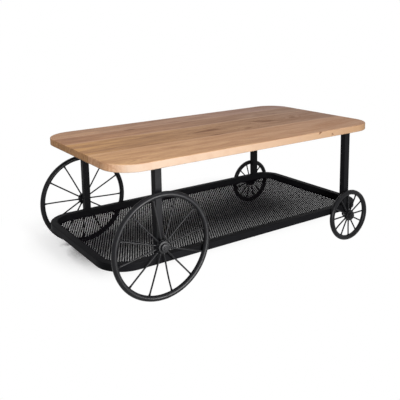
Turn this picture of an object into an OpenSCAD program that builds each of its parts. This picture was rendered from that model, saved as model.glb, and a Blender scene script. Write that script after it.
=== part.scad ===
// Cart-style coffee table: a thick solid-wood top on four square-tube legs, a low
// tray with a see-through diamond mesh floor, two large and two small spoked wheels.
// X runs along the table, Y across it, Z up. The origin lies on the floor under the
// middle of the whole table. The large wheels are at the left end, the front is -Y.

/* [Table] */
// Height of the tabletop's upper face above the floor
table_h = 456; // [430:1:560]
// Length of the tabletop
top_l = 1150; // [1000:5:1400]
// Width of the tabletop
top_w = 610; // [500:5:760]
// Thickness of the tabletop's boards
top_t = 26; // [20:1:40]
// Radius of the tabletop's four corners, seen from above
top_corner_r = 100; // [40:1:115]
// Radius of the softened edges round the top
top_edge_r = 3; // [1:0.5:8]

/* [Legs] */
// Outer width of the square steel tube of legs and tray
tube_w = 25; // [20:1:32]
// Wall of the square tube
tube_wall = 1.5; // [1:0.1:2.5]
// Radius on the tube's outer corners
tube_round = 2; // [1:0.1:3]
// Distance from the tabletop's long edge to the legs' outer face
leg_face_inset = 16; // [8:1:40]
// Distance from the tabletop's left end to the middle of the left legs
left_leg_inset = 153; // [130:1:220]
// Distance from the tabletop's right end to the middle of the right legs
right_leg_inset = 144; // [115:1:200]

/* [Leg plates] */
// Side of the square plate on top of each leg
plate_w = 70; // [60:1:90]
// Thickness of the leg plates
plate_t = 4; // [3:0.5:6]
// Distance from a plate's edges to its screw holes
plate_hole_inset = 10; // [7:0.5:13]
// Diameter of the wood screws' shanks
screw_d = 5; // [4:0.5:6]
// Length of the wood screws below their heads
screw_l = 20; // [12:1:24]
// Diameter of the screw heads
screw_head_d = 10; // [8:0.5:12]
// Height of the screw heads
screw_head_h = 3; // [2:0.5:4]

/* [Tray] */
// Distance that the tray reaches past the middle of the left legs
tray_left_reach = 176; // [140:1:220]
// Distance that the tray reaches past the middle of the right legs
tray_right_reach = 95; // [75:1:140]
// Outer radius of the tray rim's two bends at the left end
tray_left_bend_r = 101; // [60:1:130]
// Outer radius of the tray rim's two bends at the right end
tray_right_bend_r = 80; // [60:1:95]
// Thickness of the mesh floor
mesh_t = 2; // [1:0.5:4]
// Width of the mesh's strands
mesh_strand = 3.5; // [2:0.5:5]
// Length of one diamond of the mesh, across the table
mesh_cell_l = 76; // [60:1:110]
// Width of one diamond of the mesh, along the table
mesh_cell_w = 38; // [32:1:60]
// Width of the mesh's plain border
mesh_border = 5; // [3:0.5:12]

/* [Wheels] */
// Outer diameter of the two large wheels
big_wheel_d = 356; // [300:1:420]
// Outer diameter of the two small wheels
small_wheel_d = 202; // [170:1:240]
// Diameter of the round tube that the wheel rims are bent from
rim_d = 19; // [16:0.5:26]
// Gap between the legs' outer face and the wheel rims
rim_gap = 4.5; // [3:0.5:12]
// Number of spokes in each wheel
spoke_count = 12; // [8:1:14]
// Diameter of the spokes
spoke_d = 6; // [4:0.5:8]
// Angle by which the front large wheel stands turned
front_left_turn = 10.5; // [0:1:30]
// Angle by which the back large wheel stands turned
back_left_turn = 27; // [0:1:30]
// Angle by which the front small wheel stands turned
front_right_turn = 1.5; // [0:1:30]
// Angle by which the back small wheel stands turned
back_right_turn = 15; // [0:1:30]

/* [Hubs] */
// Diameter of the axle stubs
axle_d = 12; // [10:0.5:14]
// Diameter of the hub barrels
hub_d = 26; // [20:1:30]
// Diameter of the hub flange that carries the spokes
flange_d = 42; // [36:1:52]
// Thickness of the hub flange
flange_t = 6; // [4:0.5:9]
// Length of the hub barrel past the flange, towards the cap
hub_nose = 3; // [2:0.5:6]
// Diameter of the hub caps' base ring
cap_d = 40; // [36:1:44]
// Diameter of the hub caps' nose
cap_nose_d = 26; // [25:0.5:30]
// Wall of the hub caps
cap_wall = 2; // [1.5:0.1:2]
// Diameter of the flat washers
washer_d = 24; // [20:1:26]
// Thickness of the flat washers
washer_t = 2.5; // [2:0.1:3.5]
// Width of the axle nuts across their flats
nut_w = 18; // [16:0.5:18.5]
// Thickness of the axle nuts
nut_t = 6; // [4:0.5:8]
// Length of axle that stands out of the nut
axle_tip = 1; // [0.5:0.1:2]

/* [Axle brackets] */
// Distance from the tray's underside down to the small wheels' axles
axle_drop = 14.5; // [14.5:0.5:22]
// Thickness of the brackets' flat steel
bracket_t = 5; // [4:0.5:5]
// Thickness of the heads of the small wheels' axle bolts
bolt_head_t = 7.5; // [6:0.5:10]

/* [Hidden] */

// Smoothness of small, middle and large round shapes
small_fn = 24;
middle_fn = 48;
large_fn = 96;
// Overrun of every cut past the surface it opens
overrun = 1;
// Radial clearance of the hubs on their axles, and of fixed pins in their holes
running_gap = 0.05;
pin_gap = 0.1;
// Clearance between the faces that turn past each other
side_gap = 0.2;
// Clearance between the axle's end and the inside of the cap
cap_gap = 0.8;

wood = "burlywood";
steel = [0.16, 0.16, 0.17];
zinc = [0.62, 0.63, 0.65];

// Places along X, first counted from the middle of the tabletop
big_r = big_wheel_d / 2;
small_r = small_wheel_d / 2;
left_leg_at = left_leg_inset - top_l / 2;
right_leg_at = top_l / 2 - right_leg_inset;
table_left = min(-top_l / 2, left_leg_at - tray_left_reach, left_leg_at - big_r);
table_right = max(top_l / 2, right_leg_at + tray_right_reach, right_leg_at + small_r);
top_x = -(table_left + table_right) / 2;
left_leg_x = top_x + left_leg_at;
right_leg_x = top_x + right_leg_at;
tray_left = left_leg_x - tray_left_reach;
tray_right = right_leg_x + tray_right_reach;
tray_seam_x = (tray_left + tray_right) / 2;

// Places along Y, from the table's middle out to the front or the back
face_y = top_w / 2 - leg_face_inset;
tube_y = face_y - tube_w / 2;

// Places along Z, from the floor up
top_z = table_h - top_t;
plate_z = top_z - plate_t;
tray_z = small_r + axle_drop;
tray_top_z = tray_z + tube_w;

// Places along an axle, from the leg's outer face outwards
rim_at = rim_gap + rim_d / 2;
hub_start = washer_t + side_gap;
flange_start = rim_at - flange_t / 2;
flange_end = rim_at + flange_t / 2;
hub_end = flange_end + hub_nose;
outer_washer_at = hub_end + side_gap;
nut_at = outer_washer_at + washer_t;
axle_end = nut_at + nut_t + axle_tip;
cap_step = nut_at + cap_gap;
cap_inside = axle_end + cap_gap;
cap_end = cap_inside + cap_wall;

// Share of the tabletop's width that each board takes, from the front to the back
board_shares = [0.315, 0.315, 0.187, 0.183];
function share_before(number) = number == 0 ? 0 : share_before(number - 1) + board_shares[number - 1];

// Puts a shape drawn with its axis along Z, outwards, on an axle's line at the leg's face
module on_axle(side, x, z) {
    if (side == "front") translate([x, -face_y, z]) rotate([90, 0, 0]) children();
    else mirror([0, 1, 0]) translate([x, -face_y, z]) rotate([90, 0, 0]) children();
}

// Puts a shape drawn for the front at the back as well
module at_side(side) {
    if (side == "front") children();
    else mirror([0, 1, 0]) children();
}

// Rectangle with round corners, by its lowest and highest corner and the radius at its left and right end
module round_rect(low, high, left_r, right_r) {
    size = high - low;
    translate([low[0] + left_r, low[1]]) square([size[0] - left_r - right_r, size[1]]);
    translate([low[0], low[1] + left_r]) square([2 * left_r, size[1] - 2 * left_r]);
    translate([high[0] - 2 * right_r, low[1] + right_r]) square([2 * right_r, size[1] - 2 * right_r]);
    for (y = [low[1] + left_r, high[1] - left_r])
        translate([low[0] + left_r, y]) circle(left_r, $fn = large_fn);
    for (y = [low[1] + right_r, high[1] - right_r])
        translate([high[0] - right_r, y]) circle(right_r, $fn = large_fn);
}

// Cross-section of the tube, hollow, with rounded outer corners
module tube_section() {
    inner = tube_w - 2 * tube_wall;
    difference() {
        union() {
            square([tube_w - 2 * tube_round, tube_w], center = true);
            square([tube_w, tube_w - 2 * tube_round], center = true);
            for (x = [-1, 1] * (tube_w / 2 - tube_round), y = [-1, 1] * (tube_w / 2 - tube_round))
                translate([x, y]) circle(tube_round, $fn = small_fn);
        }
        square([inner, inner], center = true);
    }
}

// Cross-section of the tabletop's edge: reaches in by depth, ends at zero, softened above and below
module edge_section(depth) {
    translate([-depth, 0]) square([depth - top_edge_r, top_t]);
    translate([-depth, top_edge_r]) square([depth, top_t - 2 * top_edge_r]);
    for (z = [top_edge_r, top_t - top_edge_r])
        translate([-top_edge_r, z]) circle(top_edge_r, $fn = small_fn);
}

// The whole top as one slab, which the boards are cut from
module top_slab() {
    half_l = top_l / 2 - top_corner_r;
    half_w = top_w / 2 - top_corner_r;
    translate([top_x, 0, top_z]) {
        translate([-half_l, -half_w, 0]) cube([2 * half_l, 2 * half_w, top_t]);
        for (turn = [0, 180]) rotate([0, 0, turn]) {
            translate([half_l, half_w, 0])
                rotate_extrude(angle = 90, $fn = large_fn) translate([top_corner_r, 0]) edge_section(top_corner_r);
            translate([half_l, -half_w, 0])
                rotate([0, 0, -90])
                rotate_extrude(angle = 90, $fn = large_fn) translate([top_corner_r, 0]) edge_section(top_corner_r);
            translate([half_l + top_corner_r, half_w, 0]) rotate([90, 0, 0])
                linear_extrude(2 * half_w) edge_section(top_corner_r);
            translate([-half_l, half_w + top_corner_r, 0]) rotate([90, 0, 90])
                linear_extrude(2 * half_l) edge_section(top_corner_r);
        }
    }
}

// Corners of a leg plate's screw square, counted from the leg's middle and outer face
plate_reach = plate_w / 2 - plate_hole_inset;
plate_holes = [for (x = [-plate_reach, plate_reach], y = [plate_hole_inset, plate_w - plate_hole_inset]) [x, y]];

// Runs a shape through every screw place of the plates on one side
module at_screws(side) {
    at_side(side)
        for (x = [left_leg_x, right_leg_x], hole = plate_holes)
            translate([x + hole[0], hole[1] - face_y, plate_z]) children();
}

// Board number from the front, cut from the slab, with pilot holes where the plates are screwed on
module board(number) {
    low_y = (share_before(number) - 1 / 2) * top_w;
    board_w = board_shares[number] * top_w;
    color(wood) difference() {
        intersection() {
            top_slab();
            translate([top_x - top_l / 2 - overrun, low_y, top_z - overrun])
                cube([top_l + 2 * overrun, board_w, top_t + 2 * overrun]);
        }
        for (side = ["front", "back"])
            at_screws(side) cylinder(d = screw_d + 2 * pin_gap, h = screw_l + pin_gap, $fn = small_fn);
    }
}
module front_board() board(0);
module front_middle_board() board(1);
module back_middle_board() board(2);
module back_board() board(3);

// Leg of square tube, which stands on the tray's rim and is open at both ends
module upright(x) {
    translate([x, -tube_y, tray_top_z]) linear_extrude(plate_z - tray_top_z) tube_section();
}

// Left legs have a hole in their outer wall for the large wheels' axles
module left_leg(side) {
    color(steel) at_side(side) difference() {
        upright(left_leg_x);
        translate([left_leg_x, -face_y - overrun, big_r]) rotate([-90, 0, 0])
            cylinder(d = axle_d + 2 * pin_gap, h = tube_wall + 2 * overrun, $fn = middle_fn);
    }
}
module right_leg(side) color(steel) at_side(side) upright(right_leg_x);
module front_left_leg() left_leg("front");
module back_left_leg() left_leg("back");
module front_right_leg() right_leg("front");
module back_right_leg() right_leg("back");

// Plate on top of a leg, flush with the leg's outer face, screwed to the boards from below
module leg_plate(side, x) {
    color(steel) at_side(side) translate([x, -face_y, plate_z]) difference() {
        translate([-plate_w / 2, 0, 0]) cube([plate_w, plate_w, plate_t]);
        for (hole = plate_holes)
            translate([hole[0], hole[1], -overrun])
                cylinder(d = screw_d + 2 * pin_gap, h = plate_t + 2 * overrun, $fn = small_fn);
    }
}
module front_left_leg_plate() leg_plate("front", left_leg_x);
module back_left_leg_plate() leg_plate("back", left_leg_x);
module front_right_leg_plate() leg_plate("front", right_leg_x);
module back_right_leg_plate() leg_plate("back", right_leg_x);

// Wood screws: a low round head under the plate, a straight shank and a pointed tip
module plate_screws() {
    head_r = screw_head_d / 2;
    color(zinc) for (side = ["front", "back"]) at_screws(side)
        rotate_extrude($fn = small_fn)
            polygon([[0, -screw_head_h], [head_r / 2, -screw_head_h],
                     [head_r, -screw_head_h / 3], [head_r, 0],
                     [screw_d / 2, 0], [screw_d / 2, screw_l - screw_d], [0, screw_l]]);
}

// Half of the tray's rim: one tube bent round both corners of an end, here the left one
module rim_half(end_x, bend_r) {
    bend_x = end_x + bend_r;
    bend_y = face_y - bend_r;
    bend_line = bend_r - tube_w / 2;
    for (turn = [0, 1]) mirror([0, turn, 0]) {
        translate([bend_x, -tube_y, 0]) rotate([90, 0, 90])
            linear_extrude(tray_seam_x - bend_x) tube_section();
        translate([bend_x, -bend_y, 0]) rotate([0, 0, 180])
            rotate_extrude(angle = 90, $fn = large_fn) translate([bend_line, 0]) tube_section();
    }
    translate([end_x + tube_w / 2, bend_y, 0]) rotate([90, 0, 0]) linear_extrude(2 * bend_y) tube_section();
}
module tray_rim_left() {
    color(steel) translate([0, 0, tray_z + tube_w / 2]) rim_half(tray_left, tray_left_bend_r);
}
module tray_rim_right() {
    color(steel) translate([2 * tray_seam_x, 0, tray_z + tube_w / 2]) mirror([1, 0, 0])
        rim_half(2 * tray_seam_x - tray_right, tray_right_bend_r);
}

// Diamond mesh: a plain border inside the rim, and diamonds cut out up to that border
module mesh_outline(border) {
    inset = tube_w + border;
    round_rect([tray_left + inset, inset - face_y], [tray_right - inset, face_y - inset],
               tray_left_bend_r - inset, tray_right_bend_r - inset);
}
module diamonds() {
    half_w = mesh_cell_w / 2;
    half_l = mesh_cell_l / 2;
    side_l = norm([half_w, half_l]);
    hole_w = half_w - mesh_strand / 2 * side_l / half_l;
    hole_l = half_l - mesh_strand / 2 * side_l / half_w;
    columns = ceil((tray_right - tray_left) / mesh_cell_w / 2);
    rows = ceil(face_y / mesh_cell_l);
    for (column = [-columns:columns], row = [-rows:rows], shift = [0, 1])
        translate([tray_seam_x + (column + shift / 2) * mesh_cell_w, (row + shift / 2) * mesh_cell_l])
            polygon([[-hole_w, 0], [0, -hole_l], [hole_w, 0], [0, hole_l]]);
}
module tray_mesh() {
    color(steel) translate([0, 0, tray_z]) linear_extrude(mesh_t) difference() {
        mesh_outline(0);
        intersection() {
            mesh_outline(mesh_border);
            diamonds();
        }
    }
}

// Bracket under the tray for a small wheel's axle: a foot below the rim, and an ear that hangs down
module axle_bracket(side) {
    color(steel) {
        on_axle(side, right_leg_x, small_r) {
            translate([0, 0, -bracket_t]) linear_extrude(bracket_t) difference() {
                union() {
                    translate([-tube_w / 2, 0]) square([tube_w, axle_drop]);
                    circle(tube_w / 2, $fn = middle_fn);
                }
                circle(axle_d / 2 + pin_gap, $fn = middle_fn);
            }
            translate([-tube_w / 2, axle_drop - bracket_t, -tube_w])
                cube([tube_w, bracket_t, tube_w - bracket_t]);
        }
    }
}
module front_axle_bracket() axle_bracket("front");
module back_axle_bracket() axle_bracket("back");

// Large wheel's axle, welded into the leg: it rests on the tube's inner wall and reaches out to the nut
module axle_stub(side) {
    root = tube_w - tube_wall;
    color(steel) on_axle(side, left_leg_x, big_r) translate([0, 0, -root])
        cylinder(d = axle_d, h = root + axle_end, $fn = middle_fn);
}
module front_left_axle() axle_stub("front");
module back_left_axle() axle_stub("back");

// Small wheel's axle, a bolt with its hexagon head behind the bracket's ear
module axle_bolt(side) {
    color(steel) on_axle(side, right_leg_x, small_r) {
        translate([0, 0, -bracket_t]) cylinder(d = axle_d, h = bracket_t + axle_end, $fn = middle_fn);
        translate([0, 0, -bracket_t - bolt_head_t]) cylinder(d = nut_w / cos(30), h = bolt_head_t, $fn = 6);
    }
}
module front_right_axle() axle_bolt("front");
module back_right_axle() axle_bolt("back");

// Runs a shape over all four axle lines
module at_axles() {
    for (side = ["front", "back"]) {
        on_axle(side, left_leg_x, big_r) children();
        on_axle(side, right_leg_x, small_r) children();
    }
}
module axle_washers() {
    color(zinc) at_axles() for (at = [0, outer_washer_at]) translate([0, 0, at]) difference() {
        cylinder(d = washer_d, h = washer_t, $fn = middle_fn);
        translate([0, 0, -overrun]) cylinder(d = axle_d + 2 * pin_gap, h = washer_t + 2 * overrun, $fn = middle_fn);
    }
}
module axle_nuts() {
    color(zinc) at_axles() translate([0, 0, nut_at]) difference() {
        cylinder(d = nut_w / cos(30), h = nut_t, $fn = 6);
        translate([0, 0, -overrun]) cylinder(d = axle_d + 2 * pin_gap, h = nut_t + 2 * overrun, $fn = middle_fn);
    }
}

// Parts of a wheel, with the axle's line along Z and the leg's outer face at zero
module wheel_rim(wheel_r) {
    translate([0, 0, rim_at]) rotate_extrude($fn = large_fn)
        translate([wheel_r - rim_d / 2, 0]) circle(d = rim_d, $fn = small_fn);
}
module wheel_spokes(wheel_r, turn) {
    inner = flange_d / 2;
    outer = wheel_r - rim_d;
    for (number = [0:spoke_count - 1])
        translate([0, 0, rim_at]) rotate([0, 0, turn + number * 360 / spoke_count]) rotate([0, 90, 0])
            translate([0, 0, inner]) cylinder(d = spoke_d, h = outer - inner, $fn = small_fn);
}
module wheel_hub() {
    bore_r = axle_d / 2 + running_gap;
    rotate_extrude($fn = middle_fn)
        polygon([[bore_r, hub_start], [hub_d / 2, hub_start], [hub_d / 2, flange_start],
                 [flange_d / 2, flange_start], [flange_d / 2, flange_end],
                 [hub_d / 2, flange_end], [hub_d / 2, hub_end], [bore_r, hub_end]]);
}
module wheel_cap() {
    cap_r = cap_d / 2;
    nose_r = cap_nose_d / 2;
    button_r = axle_d / 2;
    inner_r = hub_d / 2 + pin_gap;
    edge = cap_wall / 2;
    rotate_extrude($fn = middle_fn)
        polygon([[inner_r, flange_end], [cap_r, flange_end],
                 [cap_r, cap_step + edge], [cap_r - edge, cap_step + cap_wall],
                 [nose_r, cap_step + cap_wall], [nose_r, cap_end - edge], [nose_r - edge, cap_end],
                 [button_r + edge, cap_end], [button_r, cap_end + cap_wall], [0, cap_end + cap_wall],
                 [0, cap_inside], [nose_r - cap_wall, cap_inside],
                 [nose_r - cap_wall, cap_step], [inner_r, cap_step]]);
}

module front_left_wheel_rim() color(steel) on_axle("front", left_leg_x, big_r) wheel_rim(big_r);
module front_left_wheel_spokes() color(steel) on_axle("front", left_leg_x, big_r) wheel_spokes(big_r, front_left_turn);
module front_left_wheel_hub() color(steel) on_axle("front", left_leg_x, big_r) wheel_hub();
module front_left_wheel_cap() color(steel) on_axle("front", left_leg_x, big_r) wheel_cap();

module back_left_wheel_rim() color(steel) on_axle("back", left_leg_x, big_r) wheel_rim(big_r);
module back_left_wheel_spokes() color(steel) on_axle("back", left_leg_x, big_r) wheel_spokes(big_r, back_left_turn);
module back_left_wheel_hub() color(steel) on_axle("back", left_leg_x, big_r) wheel_hub();
module back_left_wheel_cap() color(steel) on_axle("back", left_leg_x, big_r) wheel_cap();

module front_right_wheel_rim() color(steel) on_axle("front", right_leg_x, small_r) wheel_rim(small_r);
module front_right_wheel_spokes() color(steel) on_axle("front", right_leg_x, small_r) wheel_spokes(small_r, front_right_turn);
module front_right_wheel_hub() color(steel) on_axle("front", right_leg_x, small_r) wheel_hub();
module front_right_wheel_cap() color(steel) on_axle("front", right_leg_x, small_r) wheel_cap();

module back_right_wheel_rim() color(steel) on_axle("back", right_leg_x, small_r) wheel_rim(small_r);
module back_right_wheel_spokes() color(steel) on_axle("back", right_leg_x, small_r) wheel_spokes(small_r, back_right_turn);
module back_right_wheel_hub() color(steel) on_axle("back", right_leg_x, small_r) wheel_hub();
module back_right_wheel_cap() color(steel) on_axle("back", right_leg_x, small_r) wheel_cap();

front_board();
front_middle_board();
back_middle_board();
back_board();
front_left_leg();
back_left_leg();
front_right_leg();
back_right_leg();
front_left_leg_plate();
back_left_leg_plate();
front_right_leg_plate();
back_right_leg_plate();
plate_screws();
tray_rim_left();
tray_rim_right();
tray_mesh();
front_axle_bracket();
back_axle_bracket();
front_left_axle();
back_left_axle();
front_right_axle();
back_right_axle();
axle_washers();
axle_nuts();
front_left_wheel_rim();
front_left_wheel_spokes();
front_left_wheel_hub();
front_left_wheel_cap();
back_left_wheel_rim();
back_left_wheel_spokes();
back_left_wheel_hub();
back_left_wheel_cap();
front_right_wheel_rim();
front_right_wheel_spokes();
front_right_wheel_hub();
front_right_wheel_cap();
back_right_wheel_rim();
back_right_wheel_spokes();
back_right_wheel_hub();
back_right_wheel_cap();
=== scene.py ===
import math
import bpy
import bmesh
import numpy as np
from mathutils import Matrix, Vector


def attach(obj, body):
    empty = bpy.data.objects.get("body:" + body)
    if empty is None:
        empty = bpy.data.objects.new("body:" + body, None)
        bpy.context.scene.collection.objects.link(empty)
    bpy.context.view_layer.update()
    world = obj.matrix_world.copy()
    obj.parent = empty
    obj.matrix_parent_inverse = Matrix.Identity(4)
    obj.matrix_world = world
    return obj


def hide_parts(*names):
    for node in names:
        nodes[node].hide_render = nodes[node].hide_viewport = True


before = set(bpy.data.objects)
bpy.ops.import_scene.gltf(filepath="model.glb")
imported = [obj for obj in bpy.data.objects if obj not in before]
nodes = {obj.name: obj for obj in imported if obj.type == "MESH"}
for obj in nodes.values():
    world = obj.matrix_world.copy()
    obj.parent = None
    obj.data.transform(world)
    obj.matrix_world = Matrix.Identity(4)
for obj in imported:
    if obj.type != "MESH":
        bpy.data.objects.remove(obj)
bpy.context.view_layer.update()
mm = 0.001
print("frame loaded:", len(nodes), "nodes")


def hexColour(text):
    # sRGB hex to linear: c/12.92 below 0.04045, else ((c + 0.055)/1.055)^2.4
    channels = np.array([int(text[i:i + 2], 16) / 255 for i in (1, 3, 5)])
    linear = np.where(channels <= 0.04045, channels / 12.92, ((channels + 0.055) / 1.055) ** 2.4)
    return (*[float(c) for c in linear], 1.0)


def addNode(tree, kind, inputs=None, **settings):
    # one node: its settings, then each input, which is a fixed value, an output, or a node whose first output is used
    node = tree.nodes.new(kind)
    for key, value in settings.items():
        setattr(node, key, value)
    for key, value in (inputs or {}).items():
        if isinstance(value, bpy.types.Node):
            value = value.outputs[0]
        if isinstance(value, bpy.types.NodeSocket):
            tree.links.new(value, node.inputs[key])
        else:
            node.inputs[key].default_value = value
    return node


def newMaterial(name, kind="ShaderNodeBsdfPrincipled"):
    # a material with one shader on its output
    material = bpy.data.materials.new(name)
    material.use_nodes = True
    tree = material.node_tree
    tree.nodes.clear()
    shader = addNode(tree, kind)
    addNode(tree, "ShaderNodeOutputMaterial", {"Surface": shader})
    return material, tree, shader


def dress(nodeName, material):
    # gives a whole node of the CAD one material
    slots = nodes[nodeName].data.materials
    slots.clear()
    slots.append(material)


def gridFaces(rows, columns, wrapRows=False, wrapColumns=False):
    # quads between neighbouring points of a rows x columns grid, each way open or closed to a ring
    a, b = np.meshgrid(np.arange(rows if wrapRows else rows - 1),
                       np.arange(columns if wrapColumns else columns - 1), indexing="ij")
    a2, b2 = (a + 1) % rows, (b + 1) % columns
    return np.stack([a * columns + b, a2 * columns + b, a2 * columns + b2, a * columns + b2], -1).reshape(-1, 4)


def turnGrid(rows, columns):
    # the two angles of a grid that is closed both ways
    return np.meshgrid(np.linspace(0, 2 * np.pi, rows, endpoint=False),
                       np.linspace(0, 2 * np.pi, columns, endpoint=False), indexing="ij")


def newPiece(name, points, faces, material, body, replaced, smooth=True):
    # points in mm, faces as lists of point numbers; normals are turned outwards
    mesh = bpy.data.meshes.new(name)
    mesh.from_pydata((np.asarray(points).reshape(-1, 3) * mm).tolist(), [], [list(map(int, f)) for f in faces])
    mesh.materials.append(material)
    work = bmesh.new()
    work.from_mesh(mesh)
    bmesh.ops.recalc_face_normals(work, faces=work.faces)
    work.to_mesh(mesh)
    work.free()
    mesh.polygons.foreach_set("use_smooth", np.full(len(mesh.polygons), smooth))
    mesh.validate()
    piece = bpy.data.objects.new(name, mesh)
    bpy.context.scene.collection.objects.link(piece)
    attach(piece, body)
    if replaced:
        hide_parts(*replaced)


def joined(parts):
    # puts several (points, faces) together, with the faces renumbered
    points, faces, count = [], [], 0
    for partPoints, partFaces in parts:
        partPoints = np.asarray(partPoints, dtype=float).reshape(-1, 3)
        points.append(partPoints)
        faces += [[int(i) + count for i in face] for face in partFaces]
        count += len(partPoints)
    return np.concatenate(points), faces


def tubeAlong(path, radii, sides):
    # round tube: each point of the path gets a ring in the plane across the path's direction, and both ends a cap
    path = np.asarray(path, dtype=float)
    radii = np.broadcast_to(np.asarray(radii, dtype=float), (len(path),))
    ahead = np.gradient(path, axis=0)
    ahead /= np.linalg.norm(ahead, axis=1, keepdims=True)
    helper = np.where(np.abs(ahead[:, 1:2]) < 0.9, [[0.0, 1.0, 0.0]], [[1.0, 0.0, 0.0]])
    across = np.cross(ahead, helper)
    across /= np.linalg.norm(across, axis=1, keepdims=True)
    third = np.cross(ahead, across)
    angle = np.linspace(0, 2 * np.pi, sides, endpoint=False)
    rings = (path[:, None] + radii[:, None, None]
             * (np.cos(angle)[None, :, None] * across[:, None] + np.sin(angle)[None, :, None] * third[:, None]))
    faces = gridFaces(len(path), sides, wrapColumns=True).tolist()
    faces += [list(range(sides)), list(range((len(path) - 1) * sides, len(path) * sides))]
    return rings.reshape(-1, 3), faces


def blob(centre, size, sides=8, rows=5):
    # weld dot: a ball squashed to size, on a grid of latitude and longitude with both poles closed
    lat = np.linspace(-np.pi / 2, np.pi / 2, rows + 2)[1:-1]
    lon = np.linspace(0, 2 * np.pi, sides, endpoint=False)
    a, b = np.meshgrid(lat, lon, indexing="ij")
    ball = np.stack([np.cos(a) * np.cos(b), np.cos(a) * np.sin(b), np.sin(a)], -1).reshape(-1, 3)
    points = np.concatenate([ball, [[0, 0, -1], [0, 0, 1]]]) * np.asarray(size) + np.asarray(centre)
    low, high = len(ball), len(ball) + 1
    faces = gridFaces(rows, sides, wrapColumns=True).tolist()
    for i in range(sides):
        faces.append([i, (i + 1) % sides, low])
        faces.append([(rows - 1) * sides + i, (rows - 1) * sides + (i + 1) % sides, high])
    return points, faces


cameraSettings = {"focalPixels": 588.43, "middle": (190.49, 115.12), "place": (-1.29629, -1.81092, 0.89581),
                  "yaw": 33.583, "pitch": 9.816, "roll": -1.090, "picture": 400, "sensor": 36}


def makeCamera(s):
    # yaw turns the view from +Y towards +X, pitch tips it down, roll turns the picture
    yaw, pitch, roll = (math.radians(s[k]) for k in ("yaw", "pitch", "roll"))
    right = Vector((math.cos(yaw), -math.sin(yaw), 0))
    forward = Vector((math.sin(yaw) * math.cos(pitch), math.cos(yaw) * math.cos(pitch), -math.sin(pitch)))
    up = right.cross(forward)
    pictureX = math.cos(roll) * right + math.sin(roll) * up
    pictureY = -math.sin(roll) * right + math.cos(roll) * up
    camera = bpy.data.cameras.new("photoCamera")
    camera.sensor_width = s["sensor"]
    camera.lens = s["sensor"] * s["focalPixels"] / s["picture"]
    camera.shift_x = (s["picture"] / 2 - s["middle"][0]) / s["picture"]
    camera.shift_y = (s["middle"][1] - s["picture"] / 2) / s["picture"]
    holder = bpy.data.objects.new("photoCamera", camera)
    bpy.context.scene.collection.objects.link(holder)
    matrix = Matrix((pictureX, pictureY, -forward)).transposed().to_4x4()
    matrix.translation = Vector(s["place"])
    holder.matrix_world = matrix
    bpy.context.scene.camera = holder


makeCamera(cameraSettings)
bpy.context.scene.view_settings.view_transform = "Standard"

lightSettings = {
    "skyLevel": 0.10,
    # size in m, power in W; shows: seen in reflections; lights: falls on matt surfaces
    "lamps": {
        "leftSoftbox": {"place": (-1.9, -0.05, 2.3), "aim": (-0.3, 0.0, 0.4), "size": 0.8, "power": 36,
                        "shows": False, "lights": True},
        "topSoftbox": {"place": (0.5, -0.4, 2.6), "aim": (0.1, 0.0, 0.3), "size": 0.9, "power": 18,
                       "shows": True, "lights": True},
        "frontSoftbox": {"place": (-0.5, -2.05, 0.85), "aim": (-0.1, -0.3, 0.3), "size": 0.6, "power": 52,
                         "shows": False, "lights": True},
        # only a sheen on the front left leg and on the wheels' round rims
        "lowSoftbox": {"place": (-0.2, -0.95, 0.14), "aim": (-0.4, -0.3, 0.15), "size": 0.35, "power": 16,
                       "shows": True, "lights": False},
    },
    "floorGrey": 0.3,  # what the floor throws up at the table
    "floorHalf": 9,  # metres
    "shadowFloor": 1.35, "shadowShare": 0.92,  # the lit floor that the camera sees, and its greatest share
    "shadowMiddle": (0.02, 0.34, 0.0), "shadowHalf": (0.42, 0.12, 0.0),  # where that share is greatest
    "shadowReach": 0.36,  # metres outside over which the floor turns plain white
}


def plainRays(tree):
    # 1 for camera, glossy and transmission rays, 0 for all others
    rays = addNode(tree, "ShaderNodeLightPath").outputs
    seen = addNode(tree, "ShaderNodeMath", {0: rays["Is Camera Ray"], 1: rays["Is Glossy Ray"]}, operation="MAXIMUM")
    return addNode(tree, "ShaderNodeMath", {0: seen, 1: rays["Is Transmission Ray"]}, operation="MAXIMUM")


def makeLight(s):
    # the camera, glossy and transmission rays see white, all other rays a pale grey sky
    world = bpy.data.worlds.new("paleStudio")
    bpy.context.scene.world = world
    world.use_nodes = True
    tree = world.node_tree
    tree.nodes.clear()
    sky = addNode(tree, "ShaderNodeBackground", {"Color": (1, 1, 1, 1), "Strength": s["skyLevel"]})
    white = addNode(tree, "ShaderNodeBackground", {"Color": (1, 1, 1, 1), "Strength": 1.0})
    both = addNode(tree, "ShaderNodeMixShader", {0: plainRays(tree), 1: sky, 2: white})
    addNode(tree, "ShaderNodeOutputWorld", {"Surface": both})
    for name, values in s["lamps"].items():
        lamp = bpy.data.lights.new(name, "AREA")
        lamp.shape = "SQUARE"
        lamp.size = values["size"]
        lamp.energy = values["power"]
        holder = bpy.data.objects.new(name, lamp)
        holder.location = values["place"]
        holder.visible_camera = False
        holder.visible_glossy = values["shows"]
        holder.visible_diffuse = values["lights"]
        aim = Vector(values["aim"]) - Vector(values["place"])
        holder.rotation_euler = aim.to_track_quat("-Z", "Y").to_euler()
        bpy.context.scene.collection.objects.link(holder)


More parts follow.
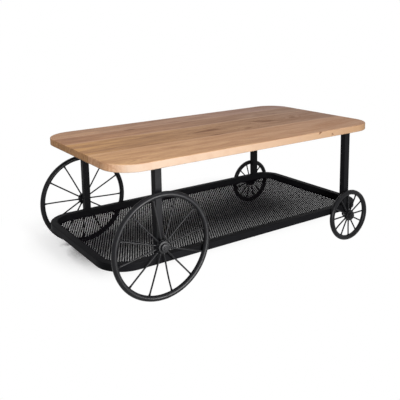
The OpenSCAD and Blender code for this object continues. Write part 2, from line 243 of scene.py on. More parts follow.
def makeFloor(s):
    # white paper floor: plain white to the camera, with a share of really lit floor near the table for its shadow;
    # the share falls with the distance outside a rectangle, max(|place - middle| - half, 0) in x and y
    material, tree, shader = newMaterial("whitePaperFloor", "ShaderNodeMixShader")
    outside = addNode(tree, "ShaderNodeTexCoord").outputs["Object"]
    outside = addNode(tree, "ShaderNodeVectorMath", {0: outside, 1: s["shadowMiddle"]}, operation="SUBTRACT")
    outside = addNode(tree, "ShaderNodeVectorMath", {0: outside}, operation="ABSOLUTE")
    outside = addNode(tree, "ShaderNodeVectorMath", {0: outside, 1: s["shadowHalf"]}, operation="SUBTRACT")
    outside = addNode(tree, "ShaderNodeVectorMath", {0: outside, 1: (0, 0, 0)}, operation="MAXIMUM")
    away = addNode(tree, "ShaderNodeVectorMath", {0: outside}, operation="LENGTH").outputs["Value"]
    near = addNode(tree, "ShaderNodeMapRange", {0: away, 1: 0.0, 2: s["shadowReach"], 3: s["shadowShare"], 4: 0.0},
                   interpolation_type="SMOOTHSTEP")
    lit = addNode(tree, "ShaderNodeBsdfDiffuse", {"Color": (s["shadowFloor"],) * 3 + (1,)})
    white = addNode(tree, "ShaderNodeEmission", {"Color": (1, 1, 1, 1), "Strength": 1.0})
    view = addNode(tree, "ShaderNodeMixShader", {0: near, 1: white, 2: lit})
    matt = addNode(tree, "ShaderNodeBsdfDiffuse", {"Color": (s["floorGrey"],) * 3 + (1,)})
    for number, source in enumerate((plainRays(tree), matt, view)):
        tree.links.new(source.outputs[0], shader.inputs[number])
    mesh = bpy.data.meshes.new("studioFloor")
    half = s["floorHalf"]
    mesh.from_pydata([(-half, -half, 0), (half, -half, 0), (half, half, 0), (-half, half, 0)], [], [(0, 1, 2, 3)])
    mesh.materials.append(material)
    floor = bpy.data.objects.new("studioFloor", mesh)
    bpy.context.scene.collection.objects.link(floor)


makeLight(lightSettings)
makeFloor(lightSettings)
print("camera, light and floor made")


# left, right: the face at either end; the face turns greyer and mostly darker towards the right end, partly the
# board's own tone and partly painted shade from light falling off to the right;
# edge: the sawn edge at either end, changing the same way; end: the end grain; pith: y and z of the tree's middle in
# mm; shift: how far the figure is moved, in m;
# seams: y in mm, strength of the painted highlight along each; knots: place (x, y, z) and half sizes in mm, turn in
# degrees, how much the ends droop, depth
brownEdges = {"edge": ("#c49a77", "#b9926f"), "edgeStreak": "#a07a5c", "end": "#b98e66", "endStreak": "#704728"}
topSettings = {
    "front_board": {
        "left": "#be976f", "right": "#af8e78", "streak": "#966e51",
        # partly painted light: the front board's edge, edge streaks, end and end streaks are paler than the other
        # boards', as if lit from the front
        "edge": ("#c6af9b", "#bb946f"), "edgeStreak": "#b89880", "end": "#d0a682", "endStreak": "#a06a46",
        "pith": (-215, 385), "shift": (0.31, 0.12, 0.4), "seams": [(-112.85, 0.4)],
        "knots": [((276, -305, 452), (8, 11, 6), 0, 0.0, 0.9), ((349.5, -305, 440), (6, 10, 5), 0, 0.0, 0.8),
                  ((-277, -175, 456), (50, 9, 20), 3, 0.4, 0.4), ((30, -232, 456), (70, 10, 20), -4, 0.5, 0.3),
                  ((-480, -262, 456), (16, 8, 20), 30, 0.0, 0.4)]},
    "front_middle_board": {
        "left": "#b88e61", "right": "#967b6b", "streak": "#7e5c45", **brownEdges,
        "pith": (-20, 395), "shift": (1.7, 0.05, 0.2), "seams": [(-112.85, 0.35), (79.3, 0.65)],
        "knots": [((-38, -22, 456), (85, 12, 20), 0, 1.3, 0.95), ((-5, -14, 456), (40, 15, 20), 4, 0.0, 0.7),
                  ((255, 4, 456), (105, 11, 20), -24, 0.3, 0.85), ((268, -18, 456), (48, 14, 20), -8, 0.0, 0.85),
                  ((123, -77, 456), (36, 14, 20), 18, 0.0, 0.65), ((-42, -104, 456), (40, 7, 20), 0, 0.3, 0.7),
                  ((413, -10, 456), (28, 13, 20), 30, 0.0, 0.5), ((-330, -100, 456), (70, 7, 20), 0, 0.2, 0.45)]},
    "back_middle_board": {
        "left": "#a97e5d", "right": "#a18877", "streak": "#7e5e4b", **brownEdges,
        "pith": (150, 405), "shift": (2.9, 0.31, 0.7), "seams": [(79.3, 0.65), (193.37, 0.5)],
        "knots": [((-257, 182, 456), (34, 14, 20), 0, 0.4, 0.7), ((395, 120, 456), (70, 12, 20), -12, 0.2, 0.4),
                  ((0, 172, 456), (50, 9, 20), -3, 0.0, 0.4)]},
    "back_board": {
        "left": "#b48e6f", "right": "#9f857e", "streak": "#876855", **brownEdges,
        "pith": (290, 390), "shift": (4.3, 0.22, 0.1), "seams": [(193.37, 0.5)],
        "knots": [((-30, 215, 456), (45, 9, 20), 4, 0.0, 0.4)]},
}
woodGrain = {
    # patterns: width in mm, noise level where it sets in, level where it is full, its strength there
    "streaks": (13.0, 0.48, 0.7, 0.6), "patches": (45.0, 0.4, 0.66, 0.6), "pores": (1.2, 0.6, 0.7, 0.4),
    "blotches": (38.0, 0.45, 0.7, 0.5), "sawMarks": (7.0, 0.42, 0.68, 0.7), "specks": (9.0, 0.56, 0.7, 0.8),
    # widths and lengths in mm
    "ring": 7.5, "ringWander": 60.0, "wanderOver": 60.0, "fibre": 1.7, "knotRough": 16.0, "seamHighlightWide": 7.5,
    "pithRun": 0.03,  # how much of its length counts in the distance from the pith
    "slow": (0.16, 1, 1), "long": (0.1, 1, 1), "fine": (0.03, 1, 1), "upright": (1, 1, 0.15),  # drawn out along x or z
    "knotStray": (0.07, 0.03, 0.004), "knotSwell": 0.02,  # m
    "ends": (-0.5625, 0.5875), "edgeTop": (0.4535, 0.4556),  # the top's two ends, and where edge turns to face, in m
    # seam: the colour of the painted highlight along the glued seams
    "knot": "#66402a", "seam": "#cbaa94", "pore": (0.45, 0.36, 0.3, 1),
    "sheen": (0.58, 0.72), "ior": 1.46, "specular": 0.12,
}


def noiseMask(tree, place, pattern, inputs):
    # noise of the pattern's width, 0 below its first level and rising to its strength at the second
    wide, low, high, strength = pattern
    noise = addNode(tree, "ShaderNodeTexNoise", {"Vector": place, "Scale": 1000 / wide, **inputs})
    return addNode(tree, "ShaderNodeMapRange", {0: noise, 1: low, 2: high, 3: 0.0, 4: strength})


def addKnots(tree, s, grain, place, slow, rings):
    # each knot is a long oval that droops at its ends, with an uneven outline: reach = |(x, y + droop x^2, z)| in its
    # own half sizes; it is dark where reach is small, and the growth rings swell round it
    rough = addNode(tree, "ShaderNodeTexNoise", {"Vector": slow, "Scale": 1000 / grain["knotRough"], "Detail": 3.0,
                                                 "Roughness": 0.6}).outputs["Color"]
    rough = addNode(tree, "ShaderNodeVectorMath", {0: rough, 1: (0.5, 0.5, 0.5)}, operation="SUBTRACT")
    rough = addNode(tree, "ShaderNodeVectorMath", {0: rough, 1: grain["knotStray"], 2: place},
                    operation="MULTIPLY_ADD")
    dark = None
    for centre, half, turn, droop, depth in s["knots"]:
        local = addNode(tree, "ShaderNodeMapping", {"Vector": rough, "Location": [c * mm for c in centre],
                                                    "Rotation": (0, 0, math.radians(turn)),
                                                    "Scale": [h * mm for h in half]}, vector_type="TEXTURE")
        x, y, z = addNode(tree, "ShaderNodeSeparateXYZ", {0: local}).outputs
        square = addNode(tree, "ShaderNodeMath", {0: x, 1: x}, operation="MULTIPLY")
        bent = addNode(tree, "ShaderNodeMath", {0: square, 1: droop, 2: y}, operation="MULTIPLY_ADD")
        local = addNode(tree, "ShaderNodeCombineXYZ", {0: x, 1: bent, 2: z})
        reach = addNode(tree, "ShaderNodeVectorMath", {0: local}, operation="LENGTH").outputs["Value"]
        swell = addNode(tree, "ShaderNodeMapRange", {0: reach, 1: 0.0, 2: 3.0, 3: grain["knotSwell"], 4: 0.0},
                        interpolation_type="SMOOTHSTEP")
        rings = addNode(tree, "ShaderNodeMath", {0: rings, 1: swell}, operation="ADD")
        core = addNode(tree, "ShaderNodeMapRange", {0: reach, 1: 0.3, 2: 1.2, 3: depth, 4: 0.0},
                       interpolation_type="SMOOTHSTEP")
        dark = core if dark is None else addNode(tree, "ShaderNodeMath", {0: dark, 1: core}, operation="MAXIMUM")
    return dark, rings


def oiledMango(name, s, grain):
    # solid mango, planed and oiled: warm tan with irregular growth rings cut lengthwise, brown streaks and knots, a
    # painted highlight along the glued seams, short dark pores, and a low sheen; the sawn edges are paler, on the
    # front board partly painted light
    material, tree, shader = newMaterial("oiledMango_" + name)
    place = addNode(tree, "ShaderNodeTexCoord").outputs["Object"]
    x, y, z = addNode(tree, "ShaderNodeSeparateXYZ", {0: place}).outputs
    moved = addNode(tree, "ShaderNodeMapping", {"Vector": place, "Location": s["shift"]})
    slow, long, fine = (addNode(tree, "ShaderNodeMapping", {"Vector": moved, "Scale": grain[k]})
                        for k in ("slow", "long", "fine"))

    # distance from the tree's pith line, which runs along the board below its face
    pith = (0.1, s["pith"][0] * mm, s["pith"][1] * mm)
    fromPith = addNode(tree, "ShaderNodeVectorMath", {0: place, 1: pith}, operation="SUBTRACT")
    fromPith = addNode(tree, "ShaderNodeVectorMath", {0: fromPith, 1: (grain["pithRun"], 1, 1)}, operation="MULTIPLY")
    rings = addNode(tree, "ShaderNodeVectorMath", {0: fromPith}, operation="LENGTH").outputs["Value"]
    wander = addNode(tree, "ShaderNodeTexNoise", {"Vector": slow, "Scale": 1000 / grain["wanderOver"], "Detail": 2.0,
                                                  "Roughness": 0.5})
    rings = addNode(tree, "ShaderNodeMath", {0: wander, 1: grain["ringWander"] * mm, 2: rings},
                    operation="MULTIPLY_ADD")
    dark, rings = addKnots(tree, s, grain, place, slow, rings)

    # ring bands: one-dimensional noise over that distance, so they differ in width and depth
    bands = addNode(tree, "ShaderNodeMath", {0: rings, 1: 1000 / grain["ring"]}, operation="MULTIPLY")
    bands = addNode(tree, "ShaderNodeTexNoise", {"W": bands, "Scale": 1.0, "Detail": 3.0, "Roughness": 0.65},
                    noise_dimensions="1D")
    bands = addNode(tree, "ShaderNodeMapRange", {0: bands, 1: 0.4, 2: 0.75, 3: 0.0, 4: 0.55})
    streaks = noiseMask(tree, long, grain["streaks"], {"Detail": 4.0, "Roughness": 0.62, "Distortion": 0.8})
    patches = noiseMask(tree, slow, grain["patches"], {"Detail": 3.0, "Distortion": 0.6})
    pores = noiseMask(tree, long, grain["pores"], {"Detail": 1.0})
    fibres = addNode(tree, "ShaderNodeTexNoise", {"Vector": fine, "Scale": 1000 / grain["fibre"], "Detail": 3.0})

    # the face, from below: its two ends' colours, patches, rings and streaks, a painted highlight along each seam,
    # pores, knots
    layers = [(share, hexColour(s["streak"]), "MIX") for share in (patches, bands, streaks)]
    # painted highlight: a pale line along each glued seam, uneven along the board
    for seam, strength in s["seams"]:
        gap = addNode(tree, "ShaderNodeMath", {0: y, 1: seam * mm}, operation="SUBTRACT")
        gap = addNode(tree, "ShaderNodeMath", {0: gap}, operation="ABSOLUTE")
        seamHighlight = addNode(tree, "ShaderNodeMapRange", {0: gap, 1: grain["seamHighlightWide"] * 0.25 * mm,
                                                    2: grain["seamHighlightWide"] * mm, 3: strength, 4: 0.0},
                       interpolation_type="SMOOTHSTEP")
        uneven = addNode(tree, "ShaderNodeMapRange", {0: wander, 1: 0.38, 2: 0.62, 3: 0.25, 4: 1.0})
        seamHighlight = addNode(tree, "ShaderNodeMath", {0: seamHighlight, 1: uneven}, operation="MULTIPLY")
        layers.append((seamHighlight, hexColour(grain["seam"]), "MIX"))
    layers += [(pores, grain["pore"], "MULTIPLY"), (dark, hexColour(grain["knot"]), "MIX")]
    # painted shade in part: along the board the face turns from its left colour to its darker, greyer right colour, as
    # light falls off to the right
    alongBoard = addNode(tree, "ShaderNodeMapRange", {0: x, 1: grain["ends"][0], 2: grain["ends"][1], 3: 0.0, 4: 1.0})
    colour = addNode(tree, "ShaderNodeMix", {0: alongBoard, 6: hexColour(s["left"]), 7: hexColour(s["right"])},
                     data_type="RGBA").outputs[2]
    for share, over, blend in layers:
        colour = addNode(tree, "ShaderNodeMix", {0: share, 6: colour, 7: over}, data_type="RGBA",
                         blend_type=blend).outputs[2]

    # end grain, where the face looks along the board: rings cut across, upright saw marks and dark specks
    facing = addNode(tree, "ShaderNodeSeparateXYZ", {0: addNode(tree, "ShaderNodeTexCoord").outputs["Normal"]})
    facing = addNode(tree, "ShaderNodeMath", {0: facing}, operation="ABSOLUTE")
    facing = addNode(tree, "ShaderNodeMapRange", {0: facing, 1: 0.5, 2: 0.97, 3: 0.0, 4: 1.0})
    upright = addNode(tree, "ShaderNodeMapping", {"Vector": place, "Scale": grain["upright"]})
    across = noiseMask(tree, upright, grain["sawMarks"], {"Detail": 3.0, "Roughness": 0.6})
    specks = noiseMask(tree, place, grain["specks"], {"Detail": 3.0, "Roughness": 0.7})
    for other in (specks, bands):
        across = addNode(tree, "ShaderNodeMath", {0: across, 1: other}, operation="MAXIMUM")
    end = addNode(tree, "ShaderNodeMix", {0: across, 6: hexColour(s["end"]), 7: hexColour(s["endStreak"])},
                  data_type="RGBA").outputs[2]

    # sawn edges: paler, on the front board partly as painted light from the front, with the same rings and patches,
    # blotches, the end grain and the knots
    edgeBands = addNode(tree, "ShaderNodeMath", {0: bands, 1: patches}, operation="MULTIPLY")
    blotches = noiseMask(tree, moved, grain["blotches"], {"Detail": 4.0, "Roughness": 0.6})
    edge = addNode(tree, "ShaderNodeMix", {0: alongBoard, 6: hexColour(s["edge"][0]), 7: hexColour(s["edge"][1])},
                   data_type="RGBA").outputs[2]
    for share, over in ((edgeBands, hexColour(s["edgeStreak"])), (blotches, hexColour(s["edgeStreak"])),
                        (facing, end), (dark, hexColour(grain["knot"]))):
        edge = addNode(tree, "ShaderNodeMix", {0: share, 6: edge, 7: over}, data_type="RGBA").outputs[2]
    onEdge = addNode(tree, "ShaderNodeMapRange", {0: z, 1: grain["edgeTop"][0], 2: grain["edgeTop"][1],
                                                  3: 1.0, 4: 0.0})
    colour = addNode(tree, "ShaderNodeMix", {0: onEdge, 6: colour, 7: edge}, data_type="RGBA").outputs[2]

    sheen = addNode(tree, "ShaderNodeMapRange", {0: fibres, 1: 0.3, 2: 0.7, 3: grain["sheen"][0],
                                                 4: grain["sheen"][1]})
    height = addNode(tree, "ShaderNodeMath", {0: pores, 1: -1.2, 2: fibres}, operation="MULTIPLY_ADD")
    bump = addNode(tree, "ShaderNodeBump", {"Strength": 0.35, "Distance": 0.0003, "Height": height})
    tree.links.new(colour, shader.inputs["Base Color"])
    tree.links.new(sheen.outputs[0], shader.inputs["Roughness"])
    tree.links.new(bump.outputs[0], shader.inputs["Normal"])
    shader.inputs["IOR"].default_value = grain["ior"]
    shader.inputs["Specular IOR Level"].default_value = grain["specular"]
    return material


for boardName, boardSettings in topSettings.items():
    dress(boardName, oiledMango(boardName, boardSettings, woodGrain))
print("tabletop dressed")


steelSettings = {  # colour, roughness and specular level of each coat
    "frame": ("#19191b", 0.42, 0.03),  # a soft sheen on the flat faces of the legs
    "tray": ("#161618", 0.48, 0.015),  # darker and duller, because it lies in the top's shade
    "mesh": ("#0c090e", 0.7, 0.015),  # flat black, dark strands before the pale floor
    "wheel": ("#161618", 0.36, 0.12),  # a long soft highlight along each round rim and spoke
}
coatPattern = {"peel": 900.0, "cloud": 22.0,  # noise peaks in a metre: about 1.1 mm and 45 mm wide
               "tint": (0.75, 1.25), "gloss": (-0.05, 0.07), "bump": 0.12, "bumpHigh": 0.0002}
zincSettings = {"colour": "#c3c4c6", "gloss": (0.28, 0.42), "grain": 2.5}  # grain in mm


def powderCoat(name, s, pattern):
    # powder coat baked on steel: matt near black, a fine orange peel of about 1 mm, slightly uneven gloss
    colour, rough, level = s
    material, tree, shader = newMaterial(name)
    place = addNode(tree, "ShaderNodeTexCoord").outputs["Object"]
    peel = addNode(tree, "ShaderNodeTexNoise", {"Vector": place, "Scale": pattern["peel"], "Detail": 2.0})
    cloud = addNode(tree, "ShaderNodeTexNoise", {"Vector": place, "Scale": pattern["cloud"], "Detail": 3.0})
    base = np.array(hexColour(colour))
    dull, bright = ((*(base[:3] * part), 1) for part in pattern["tint"])
    tint = addNode(tree, "ShaderNodeMix", {0: cloud, 6: dull, 7: bright}, data_type="RGBA")
    gloss = addNode(tree, "ShaderNodeMapRange", {0: cloud, 1: 0.3, 2: 0.7, 3: rough + pattern["gloss"][0],
                                                 4: rough + pattern["gloss"][1]})
    bump = addNode(tree, "ShaderNodeBump", {"Strength": pattern["bump"], "Distance": pattern["bumpHigh"],
                                            "Height": peel})
    tree.links.new(tint.outputs[2], shader.inputs["Base Color"])
    tree.links.new(gloss.outputs[0], shader.inputs["Roughness"])
    tree.links.new(bump.outputs[0], shader.inputs["Normal"])
    shader.inputs["Specular IOR Level"].default_value = level
    return material


def zincPlate(s):
    # bright zinc plating: pale grey metal with a faint drawn grain
    material, tree, shader = newMaterial("brightZinc")
    place = addNode(tree, "ShaderNodeTexCoord").outputs["Object"]
    grain = addNode(tree, "ShaderNodeTexNoise", {"Vector": place, "Scale": 1000 / s["grain"], "Detail": 3.0})
    gloss = addNode(tree, "ShaderNodeMapRange", {0: grain, 1: 0.3, 2: 0.7, 3: s["gloss"][0], 4: s["gloss"][1]})
    tree.links.new(gloss.outputs[0], shader.inputs["Roughness"])
    shader.inputs["Base Color"].default_value = hexColour(s["colour"])
    shader.inputs["Metallic"].default_value = 1.0
    return material


framePaint = powderCoat("blackPowderCoat", steelSettings["frame"], coatPattern)
trayPaint = powderCoat("trayPowderCoat", steelSettings["tray"], coatPattern)
meshPaint = powderCoat("meshPowderCoat", steelSettings["mesh"], coatPattern)
wheelPaint = powderCoat("wheelPowderCoat", steelSettings["wheel"], coatPattern)
zinc = zincPlate(zincSettings)
# the first of these words in a node's name gives its finish
finishes = [("plate_screws", zinc), ("axle_washers", zinc), ("axle_nuts", zinc), ("tray_mesh", meshPaint),
            ("_wheel_", wheelPaint), ("tray", trayPaint), ("bracket", trayPaint), ("axle", trayPaint),
            ("leg", framePaint)]
for nodeName in nodes:
    if nodeName not in topSettings:
        dress(nodeName, next(finish for word, finish in finishes if word in nodeName))
print("steel dressed")


meshSettings = {  # mm
    "left": -560.5, "right": 513.5, "reach": 264.0, "leftBend": 76.0, "rightBend": 55.0,  # outline inside the rim
    "low": 115.6, "pitchX": 9.35, "pitchY": 17.0, "strandWide": 5.1, "strandThick": 0.8,
    "knuckle": 0.15,  # the part of pitchY over which two strands run side by side
    "knuckleGap": 0.3,  # how far each strand's middle stays off the line between two strands
    "endGap": 3.0, "sideGap": 1.0,  # how far the strands stop short of the outline
    "border": 5.0, "borderUnder": 0.6,  # how far the border strip reaches in and under the rim
    "borderHeights": (115.55, 117.1, 117.45), "borderRound": 0.35, "bendSteps": 16,
}


def meshReach(s, x):
    # half width of the round-cornered outline at x: the circle of each bend within its corner, else the straight side
    reach = np.full(x.shape, s["reach"])
    for side, sign in (("left", 1), ("right", -1)):
        bend = s[side + "Bend"]
        into = bend - sign * (x - s[side])
        corner = s["reach"] - bend + np.sqrt(np.clip(bend ** 2 - np.clip(into, 0, bend) ** 2, 0, None))
        reach = np.where(into > 0, np.minimum(reach, corner), reach)
    return reach


def expandedMetal(s, firstNumber, lastNumber):
    # ribbons side by side along X, each a zigzag x = x0 +- pitchX/4 along Y with short flats at the turns;
    # neighbours are in opposite step, so they meet at the knuckles and leave diamonds; each ribbon is a
    # flat strip, cut off under the border strip; wide as drawn, so that it shows in a picture of this size
    half = s["pitchX"] / 2
    number = np.arange(firstNumber, lastNumber)
    centres = s["left"] + s["endGap"] + (number + 0.5) * half
    reachAt = meshReach(s, centres) - s["sideGap"]
    periods = int(2 * s["reach"] / s["pitchY"]) + 2
    flat = s["knuckle"] / 2
    phase = (np.arange(periods)[:, None] + np.array([-flat, flat, 0.5 - flat, 0.5 + flat])[None]).ravel()
    step = np.tile([1.0, 1.0, -1.0, -1.0], periods)
    full = (phase - phase.mean()) * s["pitchY"]
    y = np.clip(full[None], -reachAt[:, None], reachAt[:, None])
    sign = np.where(number % 2 == 0, 1.0, -1.0)[:, None]
    waveX = np.stack([np.interp(row, full, step) for row in y])
    centreX = centres[:, None] + sign * waveX * (half / 2 - s["knuckleGap"])
    w, t = s["strandWide"] / 2, s["strandThick"] / 2
    corners = np.array([[-w, -t], [w, -t], [w, t], [-w, t]])
    points = np.zeros((*y.shape, 4, 3))
    points[..., 0] = centreX[..., None] + corners[None, None, :, 0]
    points[..., 1] = y[..., None]
    points[..., 2] = s["low"] + t + corners[None, None, :, 1]
    # four sides between two rings of corners that are apart, and a cap where a ribbon starts or ends
    ring = np.arange(y.size).reshape(y.shape) * 4
    real = np.diff(y, axis=1) > 1e-6
    starts = ring[:, :-1][real][:, None]
    k = np.arange(4)
    after = (k + 1) % 4
    sides = np.stack([starts + k, starts + 4 + k, starts + 4 + after, starts + after], -1).reshape(-1, 4)
    shut = np.zeros((len(y), 1), bool)
    ends = ring[np.concatenate([shut, real], 1) ^ np.concatenate([real, shut], 1)][:, None] + k
    used, renumbered = np.unique(np.concatenate([sides, ends]), return_inverse=True)
    return points.reshape(-1, 3)[used], renumbered.reshape(-1, 4)


def meshBorder(s):
    # flat strip welded inside the rim: the outline and the same drawn in by border, as a closed ring
    def outline(inset):
        parts = []
        for side, outwards, up, first in (("right", 1, 1, 0), ("left", -1, 1, 90), ("left", -1, -1, 180),
                                          ("right", 1, -1, 270)):
            bend = s[side + "Bend"]
            angle = np.radians(first + np.linspace(0, 90, s["bendSteps"]))
            parts.append(np.stack([s[side] - outwards * bend + (bend - inset) * np.cos(angle),
                                   up * (s["reach"] - bend) + (bend - inset) * np.sin(angle)], -1))
        return np.concatenate(parts)
    outer, inner = outline(-s["borderUnder"]), outline(s["border"])
    rounded = inner - s["borderRound"] * np.sign(inner - outer)
    low, edge, high = s["borderHeights"]
    loops = [np.column_stack([line, np.full(len(outer), height)])
             for line, height in ((outer, low), (inner, low), (inner, edge), (rounded, high), (outer, high))]
    return np.concatenate(loops), gridFaces(len(loops), len(outer), True, True)


def makeMesh(s):
    # the ribbons in two pieces, because one would have too many faces, and the border round both
    count = int((s["right"] - s["left"] - 2 * s["endGap"]) / (s["pitchX"] / 2))
    for name, first, last in (("trayMeshLeft", 0, count // 2), ("trayMeshRight", count // 2, count)):
        points, faces = expandedMetal(s, first, last)
        newPiece(name, points, faces, meshPaint, "root", ("tray_mesh",), smooth=False)
        print(name, len(faces), "faces")
    points, faces = meshBorder(s)
    newPiece("trayMeshBorder", points, faces, meshPaint, "root", ("tray_mesh",), smooth=False)


makeMesh(meshSettings)


# x, y: the wheel's middle plane on its axle; turn: the first spoke; rimWeld: where the rim's ring is closed (degrees)
wheelSettings = {
    "frontLeft": {"body": "front_left_wheel", "x": -409.5, "y": -303.0, "radius": 178.0,
                  "turn": 10.5, "rimWeld": 274, "seed": 3},
    "backLeft": {"body": "back_left_wheel", "x": -409.5, "y": 303.0, "radius": 178.0,
                 "turn": 27.0, "rimWeld": 312, "seed": 5},
    "frontRight": {"body": "front_right_wheel", "x": 443.5, "y": -303.0, "radius": 101.0,
                   "turn": 1.5, "rimWeld": 76, "seed": 8},
    "backRight": {"body": "back_right_wheel", "x": 443.5, "y": 303.0, "radius": 101.0,
                  "turn": 15.0, "rimWeld": 199, "seed": 11},
}
wheelShape = {  # mm, but for the counts
    "tube": 19.0, "spokes": 12, "spoke": 5.6, "flange": 42.0, "spokeSides": 10, "spokeSteps": 15,
    "rimGrid": (144, 24), "rimInside": 0.2, "rimUneven": (0.12, 0.08),  # how far the rim is inside its tube's size
    "ringGrid": (36, 8), "ringLow": 0.9, "ringHigh": 1.1, "ringWide": (2.2, 0.5),  # the bead that closes the rim
    "into": 1.5,  # how far each spoke runs into flange and rim
    "innerFlare": (0.9, 3.0), "outerFlare": (1.3, 2.5),  # how much a spoke swells at its welds, and over what length
    "tipIn": 0.8, "tipWeld": (3.6, 3.4, 3.6),
}


def onWheel(s, along, outwards, turn=0.0):
    # along = distance from the axle, outwards = distance from the wheel's middle plane away from the table
    side = -1 if s["y"] < 0 else 1
    along, outwards, turn = np.broadcast_arrays(along, outwards, turn)
    return np.stack([s["x"] + along * np.cos(turn), s["y"] + side * outwards, s["radius"] + along * np.sin(turn)], -1)


def makeWheel(name, s, shape):
    random = np.random.default_rng(s["seed"])
    tubeR = shape["tube"] / 2
    middleR = s["radius"] - tubeR
    # rim: a torus, closed both ways, whose tube is a hair uneven as bent tube is, with the bead that closes the ring
    a, b = turnGrid(*shape["rimGrid"])
    slow, quick = shape["rimUneven"]
    uneven = slow * np.sin(3 * a + s["seed"]) + quick * np.sin(7 * a + 2 * s["seed"])
    thick = tubeR - shape["rimInside"] + uneven
    parts = [(onWheel(s, middleR + thick * np.cos(b), thick * np.sin(b), a), gridFaces(*a.shape, True, True))]
    # the bead: a ring round the tube whose own section is an oval
    a, b = turnGrid(*shape["ringGrid"])
    thick = tubeR - shape["ringLow"] + shape["ringHigh"] * np.cos(b)
    wide, ragged = shape["ringWide"]
    turn = math.radians(s["rimWeld"]) + (wide + ragged * np.sin(5 * a)) * np.sin(b) / middleR
    parts.append((onWheel(s, middleR + thick * np.cos(a), thick * np.sin(a), turn), gridFaces(*a.shape, True, True)))
    points, faces = joined(parts)
    newPiece(name + "WheelRim", points, faces, wheelPaint, s["body"], (s["body"] + "_rim",))
    # spokes: straight rods from the flange into the rim, each a little bowed, with a thick weld at both ends
    parts = []
    inner, outer = shape["flange"] / 2 - shape["into"], middleR - tubeR + shape["into"]
    t = np.linspace(0, 1, shape["spokeSteps"])
    length = inner + (outer - inner) * t
    (innerSwell, innerOver), (outerSwell, outerOver) = shape["innerFlare"], shape["outerFlare"]
    radii = (shape["spoke"] / 2 + innerSwell * np.exp(-(length - inner) / innerOver)
             + outerSwell * np.exp(-(outer - length) / outerOver))
    for k in range(shape["spokes"]):
        angle = math.radians(s["turn"] + 360 * k / shape["spokes"])
        bow = random.normal(0, 0.006) * np.sin(np.pi * t) + random.normal(0, 0.005) * t
        outwards = random.normal(0, 0.5) * np.sin(np.pi * t)
        parts.append(tubeAlong(onWheel(s, length, outwards, angle + bow), radii, shape["spokeSides"]))
        tip = onWheel(s, outer - shape["tipIn"], random.normal(0, 0.6), angle + bow[-1])
        parts.append(blob(tip, shape["tipWeld"]))
    points, faces = joined(parts)
    newPiece(name + "WheelSpokes", points, faces, wheelPaint, s["body"], (s["body"] + "_spokes",))


hubShape = {  # closed outlines of (distance from the axle, outwards), mm
    "barrel": [(6.1, -11.3), (13, -11.3), (13, -3), (21, -3), (21, 3), (13, 3), (13, 6), (6.1, 6)],
    "barrelRound": 0.7,
    "cap": [(13.1, 3.05), (20, 3.05), (20, 11.5), (13, 11.5), (13, 18.5), (6, 18.5), (6, 20.5), (0.4, 20.5),
            (0.4, 16.6), (11, 16.6), (11, 9.6), (13.1, 9.6)],
    "capRound": 1.3, "weldAt": 20.6, "weldOut": 0.4, "weldWide": 3.6, "weldHigh": 3.2,
}


def softCorners(profile, radius, steps):
    # each corner of the closed outline becomes a short curve: a quadratic one from radius before it to radius after it
    profile = np.asarray(profile, dtype=float)
    before, after = np.roll(profile, 1, 0) - profile, np.roll(profile, -1, 0) - profile
    lengthBefore, lengthAfter = np.linalg.norm(before, axis=1), np.linalg.norm(after, axis=1)
    reach = np.minimum(radius, 0.45 * np.minimum(lengthBefore, lengthAfter))
    first = profile + before * (reach / lengthBefore)[:, None]
    last = profile + after * (reach / lengthAfter)[:, None]
    t = np.linspace(0, 1, steps)[None, :, None]
    curve = (1 - t) ** 2 * first[:, None] + 2 * t * (1 - t) * profile[:, None] + t ** 2 * last[:, None]
    return curve.reshape(-1, 2)


def lathe(s, profile, sides=72):
    # closed outline of (distance from the axle, outwards) turned round the wheel's axle
    angle = np.linspace(0, 2 * np.pi, sides, endpoint=False)
    points = onWheel(s, profile[:, None, 0], profile[:, None, 1], angle[None])
    return points, gridFaces(len(profile), sides, True, True)


def makeHub(name, s, spokes, shape):
    # barrel and flange turned in one, with a weld where each spoke runs in, and a stepped cap as a thin shell
    random = np.random.default_rng(s["seed"] + 40)
    parts = [lathe(s, softCorners(shape["barrel"], shape["barrelRound"], 4))]
    for k in range(spokes):
        angle = math.radians(s["turn"] + 360 * k / spokes + random.normal(0, 1.5))
        centre = onWheel(s, shape["weldAt"] + random.normal(0, 0.4), random.normal(shape["weldOut"], 0.5), angle)
        parts.append(blob(centre, (shape["weldWide"] + random.normal(0, 0.4), shape["weldHigh"],
                                   shape["weldWide"] + random.normal(0, 0.4))))
    points, faces = joined(parts)
    newPiece(name + "WheelHub", points, faces, wheelPaint, s["body"], (s["body"] + "_hub",))
    points, faces = lathe(s, softCorners(shape["cap"], shape["capRound"], 5))
    newPiece(name + "WheelCap", points, faces, wheelPaint, s["body"], (s["body"] + "_cap",))


for wheelName, settings in wheelSettings.items():
    makeWheel(wheelName, settings, wheelShape)
    makeHub(wheelName, settings, wheelShape["spokes"], hubShape)
    print(wheelName, "wheel made")


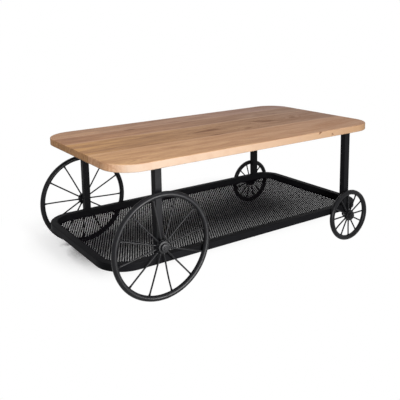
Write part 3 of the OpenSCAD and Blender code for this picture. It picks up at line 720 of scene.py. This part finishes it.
weldSettings = {  # mm
    "legX": (-409.5, 443.5), "inner": 264.0, "outer": 289.0, "tube": 25.0,
    "foot": 140.5, "top": 426.0, "seamX": -23.5, "trayLow": 115.5, "bracketX": (431.0, 456.0),
    "bead": 2.1, "seamBead": 0.9, "bracketBead": 1.8, "ripple": 2.6, "step": 0.65, "sides": 8,
}


def beadAlong(s, start, end, radius, seed):
    # weld bead: a straight tube whose radius ripples along its length and closes to small ends
    start, end = np.asarray(start, dtype=float), np.asarray(end, dtype=float)
    length = np.linalg.norm(end - start)
    t = np.linspace(0, 1, max(int(length / s["step"]), 6))
    ripple = 1 + 0.13 * np.sin(2 * np.pi * t * length / s["ripple"] + seed) + 0.06 * np.sin(17 * t + 3 * seed)
    shut = np.clip(np.minimum(t, 1 - t) * length / radius, 0.25, 1) ** 0.5
    return tubeAlong(start + (end - start) * t[:, None], radius * ripple * shut, s["sides"])


def makeWelds(s):
    # where legs stand on the tray, under the plates, round the tray's two seams, and beside the brackets' feet
    parts = []
    half = s["tube"] / 2
    for x in s["legX"]:
        for side in (-1, 1):
            low, high = side * (s["inner"] + 1), side * (s["outer"] - 1)
            for edge in (x - half, x + half):
                parts.append(beadAlong(s, (edge, low, s["foot"]), (edge, high, s["foot"]), s["bead"], x + side))
                parts.append(beadAlong(s, (edge, low, s["top"]), (edge, high, s["top"]), s["bead"], x - side))
            for y in (side * s["inner"], side * s["outer"]):
                parts.append(beadAlong(s, (x - half + 1, y, s["top"]), (x + half - 1, y, s["top"]), s["bead"], y))
    for side in (-1, 1):
        inner, outer = side * s["inner"], side * s["outer"]
        low, high = s["trayLow"], s["foot"]
        corners = [(s["seamX"], y, z) for y, z in ((inner, low), (outer, low), (outer, high), (inner, high),
                                                   (inner, low))]
        for number in range(4):
            parts.append(beadAlong(s, corners[number], corners[number + 1], s["seamBead"], number))
        for x in s["bracketX"]:
            parts.append(beadAlong(s, (x, side * (s["inner"] + 2), low - 0.8), (x, side * (s["outer"] - 7), low - 0.8),
                                   s["bracketBead"], x))
    points, faces = joined(parts)
    newPiece("frameWelds", points, faces, framePaint, "root", ())


makeWelds(weldSettings)
print("welds made")
